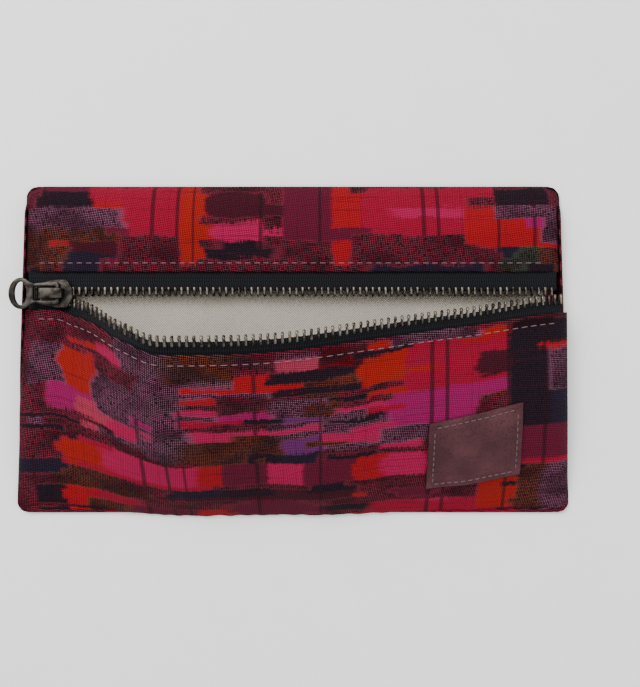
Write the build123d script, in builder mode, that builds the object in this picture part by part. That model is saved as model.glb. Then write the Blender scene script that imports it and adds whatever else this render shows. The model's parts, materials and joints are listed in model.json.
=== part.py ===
"""Flat travel pouch for cables, lying on its back with its zipped mouth open.

X runs along the zipper, Y points from the bottom seam to the top fold, +Z points up
from the resting face. The origin is the centre of the resting face. Millimetres.
"""
from build123d import *
import math
import os

os.makedirs("parts", exist_ok=True)

# --- driving dimensions -------------------------------------------------------------
BOTTOM_WIDTH = 224.0          # pouch width at the bottom seam
TOP_WIDTH = 216.0             # pouch width at the top fold
HEIGHT = 132.0                # bottom seam to top fold
CORNER_RADIUS = 4.0
FABRIC = 1.0                  # outer fabric with its seam allowance
LINING = 0.6
LAYER_GAP = 0.12              # air between two layers of one body
SIDE_SEAM_WIDTH = 4.5
SIDE_SEAM_HEIGHT = 1.9

CHAIN_Y = 22.2                # closed line of the zipper
CHAIN_Z = 7.0                 # mid-plane of the teeth
CHAIN_LEFT = -100.0           # first tooth
PITCH = 2.54                  # tooth pitch of a number 5 metal chain
TOOTH_COUNT = 81              # teeth on each side
TOOTH_WIDTH = 1.15
TOOTH_TIP = -1.0              # tip, past the closed line
TOOTH_ROOT = 2.8              # legs, behind the closed line
TOOTH_HALF_HEIGHT = 1.3
CORD_RADIUS = 0.62
TAPE_THICKNESS = 0.6
TAPE_END_X = 105.4
TAPE_INNER = 2.9              # edge of the tape behind the closed line, under the cord
TAPE_WIDTH = 11.5
FRONT_TAPE = 3.6              # tape left bare between the teeth and the front fabric
REAR_TAPE = 6.0               # and between the teeth and the upper fabric

SLIDER_X = -93.5              # slider's centre with the mouth open
SLIDER_LENGTH = 13.0
SLIDER_NOSE_WIDTH = 11.2
SLIDER_TAIL_WIDTH = 8.6
SLIDER_CHANNEL = 3.2          # between the two plates
PLATE = 1.1
BRIDGE_WIDTH = 4.0
BRIDGE_LENGTH = 9.6
BRIDGE_RISE = 3.4
BRIDGE_BAR = 1.1
PULL_LENGTH = 20.0
PULL_WIDTH = 12.6
PULL_THICKNESS = 1.4
PULL_TILT = 2.0               # degrees below level, resting on the slider's tail

PIVOT_Y = -65.0               # the front folds down about a line under the bottom seam
PIVOT_Z = -6.0
OPEN_ANGLE = 30.0             # degrees, at the deepest place of the mouth
OPEN_X = -44.0                # the deepest place of the mouth
LEFT_END_X = -96.0            # the front joins the back flat from here to the left seam
RIGHT_END_X = 160.0           # where the same fold would fade out to the right
SAG_RIGHT = 2.0               # the open edge hangs this much below a straight fold
SAG_LEFT = 2.4

LABEL_X = 71.0
LABEL_Y = -33.5
LABEL_WIDTH = 37.0
LABEL_HEIGHT = 30.0
LABEL_TURN = 7.5
LABEL_THICKNESS = 1.3

STATIONS = [-108.0, -106.5, -104.5, -94.0, -86.0, -78.0, -70.0, -62.0, -54.0, -44.0,
            -26.0, -6.0, 14.0, 34.0, 54.0, 74.0, 90.0, 104.5, 106.5, 108.0]


# --- shape of the mouth -------------------------------------------------------------
def smooth(t):
    """Ease from 0 to 1."""
    t = min(1.0, max(0.0, t))
    return t * t * (3 - 2 * t)


def opening(x):
    """Share of the full fold at x."""
    if x < OPEN_X:
        return smooth((x - LEFT_END_X) / (OPEN_X - LEFT_END_X))
    return smooth((RIGHT_END_X - x) / (RIGHT_END_X - OPEN_X))


def side_drop(x):
    """Share of the full thickness at x: both faces meet at the side seams."""
    edge = STATIONS[-1]
    start = 104.5
    return 1.0 - 0.55 * smooth((abs(x) - start) / (edge - start))


def folded(x, y, z):
    """Place of a point of the closed front once the mouth is open, as (y, z)."""
    floor = FABRIC + LINING
    z = floor + (z - floor) * side_drop(x)
    turn = math.radians(OPEN_ANGLE * opening(x))
    reach = (y - PIVOT_Y) / (CHAIN_Y - PIVOT_Y)
    sag = reach * (SAG_RIGHT * smooth((x - OPEN_X) / 50) * smooth((104.5 - x) / 40)
                   + SAG_LEFT * smooth((x + 94) / 8) * smooth((OPEN_X - 10 - x) / 14))
    y, z = y - PIVOT_Y - sag, z - PIVOT_Z
    return (PIVOT_Y + y * math.cos(turn) - z * math.sin(turn),
            PIVOT_Z + y * math.sin(turn) + z * math.cos(turn))


def front_section(x, line, thickness):
    """Closed outline, in YZ, of a front layer whose upper face follows line."""
    upper = [folded(x, y, z) for y, z in line]
    lower = [folded(x, y, z - thickness) for y, z in reversed(line)]
    return upper + lower


def back_section(x, line, thickness):
    """The same for a layer of the part above the zipper, which never folds."""
    floor = FABRIC + LINING
    upper = [(y, floor + (z - floor) * side_drop(x)) for y, z in line]
    lower = [(y, floor + (z - thickness - floor) * side_drop(x)) for y, z in reversed(line)]
    return upper + lower


def outline(plane, points, corner=0.0):
    """A closed straight-sided sketch on a plane, with its corners rounded if asked."""
    with BuildSketch(plane) as shape:
        with BuildLine():
            Polyline(*points, close=True)
        make_face()
        if corner:
            fillet(shape.vertices(), corner)
    return shape.sketch


def layer(section, line, thickness, reach):
    """Loft one fabric layer through the stations within reach of the middle."""
    outlines = [outline(Plane.YZ.offset(x), section(x, line, thickness))
                for x in STATIONS if abs(x) <= reach]
    loft(sections=outlines, ruled=True)


def save(piece, name):
    """Label a finished piece and write its file."""
    piece.part.label = name
    export_step(piece.part, f"parts/{name}.step")


def pouch_outline(height, inset):
    """The pouch's flat outline at a height, inset by a margin."""
    low, high = -HEIGHT / 2 + inset, HEIGHT / 2 - inset
    wide, narrow = BOTTOM_WIDTH / 2 - inset, TOP_WIDTH / 2 - inset
    corners = [(-wide, low), (wide, low), (narrow, high), (-narrow, high)]
    return outline(Plane.XY.offset(height), corners, CORNER_RADIUS)


# --- back and upper front -----------------------------------------------------------
with BuildPart() as back_panel:
    extrude(pouch_outline(0.0, 0.0), amount=FABRIC)
save(back_panel, "back_panel")

LINING_INSET = SIDE_SEAM_WIDTH + 1.0
with BuildPart() as back_lining:
    extrude(pouch_outline(FABRIC + LAYER_GAP, LINING_INSET), amount=LINING - LAYER_GAP)
save(back_lining, "back_lining")

SEAM_LOW = -HEIGHT / 2 + 18.0
SEAM_HIGH = HEIGHT / 2 - 7.0
for name, side in (("left_side_seam", -1), ("right_side_seam", 1)):
    with BuildPart() as side_seam:
        with BuildSketch(Plane.XY.offset(FABRIC)):
            slope = (BOTTOM_WIDTH - TOP_WIDTH) / 2 / HEIGHT
            low_x = BOTTOM_WIDTH / 2 - 0.6 - slope * (SEAM_LOW + HEIGHT / 2)
            high_x = BOTTOM_WIDTH / 2 - 0.6 - slope * (SEAM_HIGH + HEIGHT / 2)
            with BuildLine():
                Polyline((side * (low_x - SIDE_SEAM_WIDTH), SEAM_LOW),
                         (side * low_x, SEAM_LOW),
                         (side * high_x, SEAM_HIGH),
                         (side * (high_x - SIDE_SEAM_WIDTH), SEAM_HIGH), close=True)
            make_face()
        extrude(amount=SIDE_SEAM_HEIGHT)
    save(side_seam, name)

# The bottom seam allowance lies under the front's lower edge.
BOTTOM_SEAM_DEPTH = 3.6
BOTTOM_SEAM_HEIGHT = 0.9
with BuildPart() as bottom_seam:
    seam_half = BOTTOM_WIDTH / 2 - CORNER_RADIUS
    low_y = -HEIGHT / 2 + 0.2
    extrude(outline(Plane.XY.offset(FABRIC), [
        (-seam_half, low_y), (seam_half, low_y),
        (seam_half, low_y + BOTTOM_SEAM_DEPTH), (-seam_half, low_y + BOTTOM_SEAM_DEPTH)]),
        amount=BOTTOM_SEAM_HEIGHT)
save(bottom_seam, "bottom_seam")

FOLD_EDGE = CHAIN_Y + TAPE_INNER + REAR_TAPE
RIM_Y = CHAIN_Y - TAPE_INNER - FRONT_TAPE
UPPER_TOP_Z = CHAIN_Z + TAPE_THICKNESS / 2 + LAYER_GAP + FABRIC
RIM_Z = UPPER_TOP_Z
UPPER_LINE = [(FOLD_EDGE, UPPER_TOP_Z), (FOLD_EDGE + 8.0, UPPER_TOP_Z),
              (48.0, UPPER_TOP_Z + 0.9), (56.0, UPPER_TOP_Z - 0.6),
              (63.5, UPPER_TOP_Z - 3.4), (HEIGHT / 2 - 0.4, 3.4)]
with BuildPart() as upper_panel:
    layer(back_section, UPPER_LINE, FABRIC, 108.0)
save(upper_panel, "upper_panel")

top_line = [(y, z - FABRIC - TAPE_THICKNESS - 3 * LAYER_GAP) for y, z in UPPER_LINE[:5]]
top_line[0] = (FOLD_EDGE + 1.0, top_line[0][1])
with BuildPart() as upper_lining:
    layer(back_section, top_line, LINING, 104.5)
save(upper_lining, "upper_lining")


# --- zipper chains ------------------------------------------------------------------
def tooth_profile(plane):
    """One tooth, seen along the chain: a head and two legs clamped on the cord.

    Local x runs from the tip to the tape, and local y across the tape.
    """
    slot = CORD_RADIUS + 0.08
    return outline(plane, [
        (TOOTH_TIP, 0.6), (TOOTH_TIP + 0.9, TOOTH_HALF_HEIGHT),
        (TOOTH_ROOT, TOOTH_HALF_HEIGHT), (TOOTH_ROOT, slot), (1.1, slot),
        (1.1, -slot), (TOOTH_ROOT, -slot), (TOOTH_ROOT, -TOOTH_HALF_HEIGHT),
        (TOOTH_TIP + 0.9, -TOOTH_HALF_HEIGHT), (TOOTH_TIP, -0.6)])


def rear_tooth_plane(x):
    """Plane of a rear tooth: local x points from its tip to its tape."""
    return Plane((x, CHAIN_Y, CHAIN_Z), x_dir=(0, 1, 0), z_dir=(1, 0, 0))


with BuildPart() as rear_zip_teeth:
    for number in range(TOOTH_COUNT):
        start_x = CHAIN_LEFT + PITCH * number - TOOTH_WIDTH / 2
        extrude(tooth_profile(rear_tooth_plane(start_x)), amount=TOOTH_WIDTH)
save(rear_zip_teeth, "rear_zip_teeth")


def flat_in_slider(x):
    """The front chain still runs straight where the slider holds it."""
    return x < SLIDER_X + SLIDER_LENGTH / 2 + 0.8


def front_tooth_plane(x):
    """Plane of a front tooth: local x points from its tip to its tape."""
    if flat_in_slider(x):
        return Plane((x, CHAIN_Y, CHAIN_Z), x_dir=(0, -1, 0), z_dir=(1, 0, 0))
    turn = math.radians(OPEN_ANGLE * opening(x))
    y, z = folded(x, CHAIN_Y, CHAIN_Z)
    return Plane((x, y, z), x_dir=(0, -math.cos(turn), -math.sin(turn)), z_dir=(1, 0, 0))


with BuildPart() as front_zip_teeth:
    for number in range(TOOTH_COUNT):
        start_x = CHAIN_LEFT + PITCH * (number + 0.5) - TOOTH_WIDTH / 2
        extrude(tooth_profile(front_tooth_plane(start_x)), amount=TOOTH_WIDTH)
save(front_zip_teeth, "front_zip_teeth")

CORD_Y = CHAIN_Y + TOOTH_ROOT - CORD_RADIUS - 0.1
TAPE_START = CHAIN_Y + TAPE_INNER + 0.1
with BuildPart() as rear_zip_cord:
    with BuildSketch(Plane.YZ.offset(-TAPE_END_X)):
        with Locations((CORD_Y, CHAIN_Z)):
            Circle(CORD_RADIUS)
    extrude(amount=2 * TAPE_END_X)
save(rear_zip_cord, "rear_zip_cord")

with BuildPart() as rear_zip_tape:
    with BuildSketch(Plane.YZ.offset(-TAPE_END_X + 1)):
        with Locations((TAPE_START + TAPE_WIDTH / 2, CHAIN_Z)):
            Rectangle(TAPE_WIDTH, TAPE_THICKNESS)
    extrude(amount=2 * TAPE_END_X - 2)
save(rear_zip_tape, "rear_zip_tape")

ZIP_STATIONS = [-TAPE_END_X, -94.0, SLIDER_X + SLIDER_LENGTH / 2 + 0.6,
                -82.0, -78.0, -70.0, -62.0, -54.0, -44.0,
                -26.0, -6.0, 14.0, 34.0, 54.0, 74.0, 90.0, TAPE_END_X - 1]


def zip_point(x, y, z):
    """Place of a point of the front chain's tape or cord, as (y, z)."""
    if flat_in_slider(x) and y > CHAIN_Y - TAPE_INNER - 1.5:
        return (y, z)
    return folded(x, y, z)


def zip_layer(corners):
    """Loft a band of the front half of the zipper through its stations."""
    loft(sections=[outline(Plane.YZ.offset(x), [zip_point(x, y, z) for y, z in corners])
                   for x in ZIP_STATIONS], ruled=True)


front_cord_y = 2 * CHAIN_Y - CORD_Y
with BuildPart() as front_zip_cord:
    zip_layer([(front_cord_y + CORD_RADIUS * math.cos(math.radians(60 * k)),
                CHAIN_Z + CORD_RADIUS * math.sin(math.radians(60 * k))) for k in range(6)])
save(front_zip_cord, "front_zip_cord")

front_tape_y = 2 * CHAIN_Y - TAPE_START
half_tape = TAPE_THICKNESS / 2
with BuildPart() as front_zip_tape:
    tape_ys = (front_tape_y, front_tape_y - TAPE_WIDTH)
    zip_layer([(y, CHAIN_Z + half_tape) for y in tape_ys]
              + [(y, CHAIN_Z - half_tape) for y in reversed(tape_ys)])
save(front_zip_tape, "front_zip_tape")

STOP_LENGTH = 2.4
with BuildPart() as bottom_stop:
    with BuildSketch(Plane.YZ.offset(CHAIN_LEFT - 1.2 - STOP_LENGTH)):
        with Locations((CHAIN_Y, CHAIN_Z)):
            RectangleRounded(2 * TOOTH_ROOT, 3.0, 0.6)
        with Locations((CORD_Y, CHAIN_Z), (front_cord_y, CHAIN_Z)):
            Circle(CORD_RADIUS + 0.05, mode=Mode.SUBTRACT)
            Rectangle(2.2, TAPE_THICKNESS + 0.1, mode=Mode.SUBTRACT)
    extrude(amount=STOP_LENGTH)
save(bottom_stop, "bottom_stop")

LAST_TOOTH = CHAIN_LEFT + PITCH * (TOOTH_COUNT - 0.5)
with BuildPart() as rear_top_stop:
    extrude(tooth_profile(rear_tooth_plane(LAST_TOOTH + 0.4)), amount=1.3)
save(rear_top_stop, "rear_top_stop")

with BuildPart() as front_top_stop:
    extrude(tooth_profile(front_tooth_plane(LAST_TOOTH + 0.9)), amount=1.0)
save(front_top_stop, "front_top_stop")

# --- front that folds down ----------------------------------------------------------
FRONT_LINE = [(-61.5, 2.9), (-58.0, 4.0), (-46.0, 8.2), (-24.0, 11.6), (-2.0, 10.4),
              (RIM_Y - 8.0, RIM_Z + 0.1), (RIM_Y, RIM_Z)]
with BuildPart() as front_panel:
    layer(front_section, FRONT_LINE, FABRIC, 108.0)
save(front_panel, "front_panel")

lining_line = [(y, z - FABRIC - TAPE_THICKNESS - 3 * LAYER_GAP) for y, z in FRONT_LINE[2:]]
lining_line[-1] = (RIM_Y - 1.0, lining_line[-1][1])
lining_line.insert(0, (-56.5, 2.9))
with BuildPart() as front_lining:
    layer(front_section, lining_line, LINING, 104.5)
save(front_lining, "front_lining")


# --- stitches -----------------------------------------------------------------------
STITCH_LENGTH = 2.6
STITCH_STEP = 3.8
STITCH_RADIUS = 0.28
STITCH_INSET = 2.8


def surface_z(line, y):
    """Height of the upper face of a layer at y."""
    for (y0, z0), (y1, z1) in zip(line, line[1:]):
        if min(y0, y1) <= y <= max(y0, y1):
            return z0 + (z1 - z0) * (y - y0) / (y1 - y0)
    return line[-1][1]


stitch_count = int(204 / STITCH_STEP)
with BuildPart() as upper_topstitch:
    stitch_y = FOLD_EDGE + STITCH_INSET
    stitch_z = surface_z(UPPER_LINE, stitch_y) + STITCH_RADIUS + 0.02
    for number in range(stitch_count):
        stitch_x = -101 + STITCH_STEP * number
        with BuildSketch(Plane.YZ.offset(stitch_x)):
            with Locations((stitch_y, stitch_z)):
                Circle(STITCH_RADIUS)
        extrude(amount=STITCH_LENGTH)
save(upper_topstitch, "upper_topstitch")

with BuildPart() as front_topstitch:
    stitch_y = RIM_Y - STITCH_INSET
    stitch_z = surface_z(FRONT_LINE, stitch_y) + STITCH_RADIUS + 0.12
    for number in range(stitch_count):
        ends = []
        for end_x in (-101 + STITCH_STEP * number, -101 + STITCH_STEP * number + STITCH_LENGTH):
            ends.append(Vector(end_x, *folded(end_x, stitch_y, stitch_z)))
        along = ends[1] - ends[0]
        with BuildSketch(Plane(ends[0], z_dir=along)):
            Circle(STITCH_RADIUS)
        extrude(amount=along.length)
save(front_topstitch, "front_topstitch")

# --- leather label ------------------------------------------------------------------
label_z = surface_z(FRONT_LINE, LABEL_Y)
label_point = folded(LABEL_X, LABEL_Y, label_z)
across = 10.0
ahead = folded(LABEL_X + across, LABEL_Y, label_z)
behind = folded(LABEL_X - across, LABEL_Y, label_z)
above = folded(LABEL_X, LABEL_Y + across, surface_z(FRONT_LINE, LABEL_Y + across))
below = folded(LABEL_X, LABEL_Y - across, surface_z(FRONT_LINE, LABEL_Y - across))
run_x = Vector(2 * across, ahead[0] - behind[0], ahead[1] - behind[1]).normalized()
run_y = Vector(0, above[0] - below[0], above[1] - below[1]).normalized()
label_normal = run_x.cross(run_y).normalized()
LABEL_LIFT = 1.6              # the flat label stands clear of the crowned front
label_base = Plane(Vector(LABEL_X, *label_point) + label_normal * LABEL_LIFT,
                   x_dir=run_x, z_dir=label_normal)

with BuildPart() as leather_label:
    with BuildSketch(label_base):
        with BuildLine():
            rise = LABEL_WIDTH * math.tan(math.radians(LABEL_TURN)) / 2
            half_w, half_h = LABEL_WIDTH / 2, LABEL_HEIGHT / 2
            Polyline((-half_w, -half_h - rise), (half_w, -half_h + rise),
                     (half_w, half_h + rise), (-half_w, half_h - rise), close=True)
        make_face()
    extrude(amount=LABEL_THICKNESS)
save(leather_label, "leather_label")

LABEL_STITCH_INSET = 2.2
LABEL_STITCH_STEP = 2.6
LABEL_STITCH_LENGTH = 1.8
with BuildPart() as label_stitching:
    inner_w, inner_h = half_w - LABEL_STITCH_INSET, half_h - LABEL_STITCH_INSET
    slant = math.tan(math.radians(LABEL_TURN))
    top_of_label = label_base.offset(LABEL_THICKNESS + 0.02)
    columns = int(2 * inner_w / LABEL_STITCH_STEP)
    rows = int(2 * inner_h / LABEL_STITCH_STEP)
    with BuildSketch(top_of_label):
        for number in range(columns):
            place_x = -inner_w + LABEL_STITCH_STEP * (number + 0.5)
            with Locations((place_x, place_x * slant + inner_h),
                           (place_x, place_x * slant - inner_h)):
                Rectangle(LABEL_STITCH_LENGTH, 2 * STITCH_RADIUS, rotation=LABEL_TURN)
        for number in range(1, rows - 1):
            place_y = -inner_h + LABEL_STITCH_STEP * (number + 0.5)
            with Locations((inner_w, place_y + inner_w * slant),
                           (-inner_w, place_y - inner_w * slant)):
                Rectangle(2 * STITCH_RADIUS, LABEL_STITCH_LENGTH)
    extrude(amount=0.4)
save(label_stitching, "label_stitching")

# --- slider and pull ----------------------------------------------------------------
SLIDER_Y = CHAIN_Y


NOSE_TAPER = 2.2              # both corners of the nose are cut back by this much
NOSE_TIP = 3.6


def slider_plate(height):
    """One plate of the slider, wide at the nose that faces the open chain."""
    half = SLIDER_LENGTH / 2
    return outline(Plane.XY.offset(height), [
        (SLIDER_X - half, SLIDER_Y - SLIDER_TAIL_WIDTH / 2),
        (SLIDER_X, SLIDER_Y - SLIDER_NOSE_WIDTH / 2),
        (SLIDER_X + half - NOSE_TAPER, SLIDER_Y - SLIDER_NOSE_WIDTH / 2),
        (SLIDER_X + half, SLIDER_Y - NOSE_TIP / 2),
        (SLIDER_X + half, SLIDER_Y + NOSE_TIP / 2),
        (SLIDER_X + half - NOSE_TAPER, SLIDER_Y + SLIDER_NOSE_WIDTH / 2),
        (SLIDER_X, SLIDER_Y + SLIDER_NOSE_WIDTH / 2),
        (SLIDER_X - half, SLIDER_Y + SLIDER_TAIL_WIDTH / 2)], 1.0)


TAPE_SLOT = 1.3               # free height that the tape passes through
LIP_WIDTH = 0.7
LIP_Y = TOOTH_ROOT + 0.35 + LIP_WIDTH / 2
LIP_DROP = SLIDER_CHANNEL / 2 - TAPE_SLOT / 2
with BuildPart() as slider_body:
    extrude(slider_plate(CHAIN_Z + SLIDER_CHANNEL / 2), amount=PLATE)
    extrude(slider_plate(CHAIN_Z - SLIDER_CHANNEL / 2 - PLATE), amount=PLATE)
    fillet(slider_body.faces().sort_by(Axis.Z)[-1].edges(), 0.4)
    # lips along both edges of each plate, which leave a slot for the tape
    for side in (-1, 1):
        for level in (-1, 1):
            lip_z = CHAIN_Z + level * (TAPE_SLOT / 2 + LIP_DROP / 2)
            with Locations((SLIDER_X - 0.6, SLIDER_Y + side * LIP_Y, lip_z)):
                Box(SLIDER_LENGTH - 5.0, LIP_WIDTH, LIP_DROP)
save(slider_body, "slider_body")

BRIDGE_X = SLIDER_X - 1.5
BRIDGE_BASE = CHAIN_Z + SLIDER_CHANNEL / 2 + PLATE
with BuildPart() as slider_bridge:
    with BuildSketch(Plane.XZ.offset(-SLIDER_Y - BRIDGE_WIDTH / 2)):
        with BuildLine():
            left, right = BRIDGE_X - BRIDGE_LENGTH / 2, BRIDGE_X + BRIDGE_LENGTH / 2
            crown = BRIDGE_BASE + BRIDGE_RISE
            Polyline((left, BRIDGE_BASE), (left, crown - 0.8), (left + 0.8, crown),
                     (right - 0.8, crown), (right, crown - 0.8), (right, BRIDGE_BASE),
                     (right - BRIDGE_BAR, BRIDGE_BASE),
                     (right - BRIDGE_BAR, crown - BRIDGE_BAR),
                     (left + BRIDGE_BAR, crown - BRIDGE_BAR),
                     (left + BRIDGE_BAR, BRIDGE_BASE), close=True)
        make_face()
    extrude(amount=BRIDGE_WIDTH)
save(slider_bridge, "slider_bridge")

# The pull's crossbar lies inside the bridge, and its arms pass on both sides of it.
PIVOT_X = BRIDGE_X + BRIDGE_LENGTH / 2 - BRIDGE_BAR - 1.15
PULL_PIVOT_Z = BRIDGE_BASE + (BRIDGE_RISE - BRIDGE_BAR) / 2
tilt = math.radians(PULL_TILT)
pull_plane = Plane((PIVOT_X, SLIDER_Y, PULL_PIVOT_Z),
                   x_dir=(math.cos(tilt), 0, math.sin(tilt)),
                   z_dir=(-math.sin(tilt), 0, math.cos(tilt)))
PULL_BAR = 1.3
RING_CENTRE = -PULL_LENGTH + PULL_WIDTH / 2 + PULL_BAR / 2 - 1.2
SLOT_WIDTH = BRIDGE_WIDTH + 1.4
SLOT_LENGTH = 10.4
with BuildPart() as pull_tab:
    with BuildSketch(pull_plane.offset(-PULL_THICKNESS / 2)):
        with Locations((RING_CENTRE, 0)):
            Ellipse(PULL_WIDTH / 2 - 1.2, PULL_WIDTH / 2)
        with Locations((-6.0, 0)):
            Rectangle(12.0 + PULL_BAR, 9.0)
        with Locations((-SLOT_LENGTH / 2 - PULL_BAR / 2, 0)):
            Rectangle(SLOT_LENGTH, SLOT_WIDTH, mode=Mode.SUBTRACT)
        with Locations((RING_CENTRE - 0.6, 0)):
            Ellipse(2.45, 4.6, mode=Mode.SUBTRACT)
    extrude(amount=PULL_THICKNESS)
save(pull_tab, "pull_tab")
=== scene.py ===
"""Zipped cable pouch of striped ikat cloth, lying on its back with its mouth open.

Places are worked out in millimetres, in the frame of the CAD model, and turned to metres
when a mesh is made. "u, v" are places on the flat cloth: u along the zipper, v up it.
"""
import json
import math

import bmesh
import bpy
from mathutils import Matrix, Vector, noise


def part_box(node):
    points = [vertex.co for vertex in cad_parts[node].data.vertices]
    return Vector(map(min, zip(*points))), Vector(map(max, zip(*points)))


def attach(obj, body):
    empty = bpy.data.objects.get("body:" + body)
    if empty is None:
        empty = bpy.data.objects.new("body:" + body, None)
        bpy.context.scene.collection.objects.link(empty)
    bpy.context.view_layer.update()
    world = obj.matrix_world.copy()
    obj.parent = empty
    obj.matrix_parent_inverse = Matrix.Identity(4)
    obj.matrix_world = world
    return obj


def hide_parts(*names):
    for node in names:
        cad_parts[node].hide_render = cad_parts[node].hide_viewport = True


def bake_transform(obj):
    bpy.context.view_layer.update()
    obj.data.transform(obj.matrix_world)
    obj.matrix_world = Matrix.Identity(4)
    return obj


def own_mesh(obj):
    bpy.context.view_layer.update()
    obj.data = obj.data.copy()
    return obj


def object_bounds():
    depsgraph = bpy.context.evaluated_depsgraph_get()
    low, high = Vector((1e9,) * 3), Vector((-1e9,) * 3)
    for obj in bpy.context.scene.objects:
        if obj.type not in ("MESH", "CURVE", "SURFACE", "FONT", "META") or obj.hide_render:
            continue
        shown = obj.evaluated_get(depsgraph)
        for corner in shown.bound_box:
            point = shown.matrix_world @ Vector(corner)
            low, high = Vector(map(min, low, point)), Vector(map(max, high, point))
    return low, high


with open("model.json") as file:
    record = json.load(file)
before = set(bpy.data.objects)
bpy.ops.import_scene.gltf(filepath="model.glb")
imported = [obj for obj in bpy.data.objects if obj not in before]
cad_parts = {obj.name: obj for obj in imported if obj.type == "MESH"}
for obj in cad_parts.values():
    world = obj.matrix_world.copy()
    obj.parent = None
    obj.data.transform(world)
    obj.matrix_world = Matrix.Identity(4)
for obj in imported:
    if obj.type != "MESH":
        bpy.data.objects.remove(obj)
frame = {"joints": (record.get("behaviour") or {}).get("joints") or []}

cad_low, cad_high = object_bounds()
MM = 0.001

# --- driving dimensions, millimetres --------------------------------------------------
HALF_BOTTOM = cad_high.x / MM
HALF_TOP = HALF_BOTTOM - 4.0
HALF_HEIGHT = 66.0
CHAIN_Y = 22.2
CHAIN_Z = 7.0
PITCH = 2.54
TOOTH_COUNT = 81
CHAIN_LEFT = -100.0
TAPE_INNER = 2.9
FRONT_TAPE = 3.6
REAR_TAPE = 6.0
RIM_Y = CHAIN_Y - TAPE_INNER - FRONT_TAPE
FOLD_EDGE = CHAIN_Y + TAPE_INNER + REAR_TAPE
RIM_Z = 8.4
CLOTH = 0.5
SIDE_X = 110.6
LINING = 0.4                   # thickness of the lining cloth
TAPE_THICKNESS = 0.5
TAPE_START = 1.9               # the tape begins this far from the chain's middle
TAPE_WIDTH = 11.0
CORD_REACH = 2.1               # the cord lies this far from the chain's middle
CORD_RADIUS = 0.75
CORD_HALF = 105
STITCH_LENGTH = 2.7
STITCH_STEP = 3.8
SHARP_CLOTH = math.radians(55)
SHARP_METAL = math.radians(40)

PIVOT_Y = -65.0
PIVOT_Z = -6.0
OPEN_ANGLE = math.radians(30.0)
OPEN_X = -44.0
LEFT_END_X = -96.0
RIGHT_END_X = 160.0
SAG_RIGHT = 2.0
SAG_LEFT = 2.4
SLIDER_DIP = 2.0               # the chain stays this much lower where the slider holds it

CAMERA_HEIGHT = 320.0
VIEW_HEIGHT = 280.4
VIEW_X = 11.0
VIEW_Y = 2.4


# --- the fold of the mouth ----------------------------------------------------------
def smooth(t):
    t = min(1.0, max(0.0, t))
    return t * t * (3 - 2 * t)


def opening(x):
    """Share of the full fold at x."""
    if x < OPEN_X:
        return smooth((x - LEFT_END_X) / (OPEN_X - LEFT_END_X))
    return smooth((RIGHT_END_X - x) / (RIGHT_END_X - OPEN_X))


def side_fall(x):
    """Share of the full thickness at x: the faces curve together at the side seams."""
    edge = max(0.0, (abs(x) - 97.0) / (SIDE_X - 97.0))
    return math.sqrt(max(0.0, 1.0 - min(1.0, edge) ** 2.4)) * 0.86 + 0.14


def narrowing(y):
    """Width of the pouch's cloth at y, as a share of the flat cloth: less toward the top."""
    half = HALF_BOTTOM - 0.6 - (HALF_BOTTOM - HALF_TOP) * (y + HALF_HEIGHT) / (2 * HALF_HEIGHT)
    return half / SIDE_X


def folded(x, y, z):
    """Place of a point of the closed front once the mouth is open."""
    reach = (y - PIVOT_Y) / (CHAIN_Y - PIVOT_Y)
    sag = reach * (SAG_RIGHT * smooth((x - OPEN_X) / 50) * smooth((104.5 - x) / 40)
                   + SAG_LEFT * smooth((x + 94) / 8) * smooth((OPEN_X - 10 - x) / 14))
    dip = SLIDER_DIP * reach * smooth((x + 96) / 6) * smooth((-80 - x) / 6)
    turn = OPEN_ANGLE * opening(x)
    y, z = y - PIVOT_Y - sag, z - PIVOT_Z - dip
    return Vector((x, PIVOT_Y + y * math.cos(turn) - z * math.sin(turn),
                   PIVOT_Z + y * math.sin(turn) + z * math.cos(turn)))


# --- mesh helpers -------------------------------------------------------------------
def recalc(piece):
    """Turn all faces outwards."""
    work = bmesh.new()
    work.from_mesh(piece.data)
    bmesh.ops.recalc_face_normals(work, faces=work.faces)
    work.to_mesh(piece.data)
    work.free()


def make_object(name, points, faces, material, uvs=None):
    """A smooth-shaded object from points in millimetres, with one UV per point."""
    mesh = bpy.data.meshes.new(name)
    mesh.from_pydata([Vector(p) * MM for p in points], [], faces)
    if uvs:
        layer = mesh.uv_layers.new(name="cloth")
        for loop in mesh.loops:
            u, v = uvs[loop.vertex_index]
            layer.data[loop.index].uv = (u * MM, v * MM)
    mesh.validate()
    mesh.materials.append(material)
    mesh.shade_smooth()
    piece = bpy.data.objects.new(name, mesh)
    bpy.context.scene.collection.objects.link(piece)
    recalc(piece)
    return piece


def join_rings(faces, first, rings, around):
    """Faces between rings of points that follow one another, and a cap at each end."""
    for ring in range(rings - 1):
        for k in range(around):
            a = first + ring * around + k
            b = first + ring * around + (k + 1) % around
            faces.append((a, b, b + around, a + around))
    faces.append(tuple(first + k for k in range(around - 1, -1, -1)))
    last = first + (rings - 1) * around
    faces.append(tuple(last + k for k in range(around)))


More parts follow.
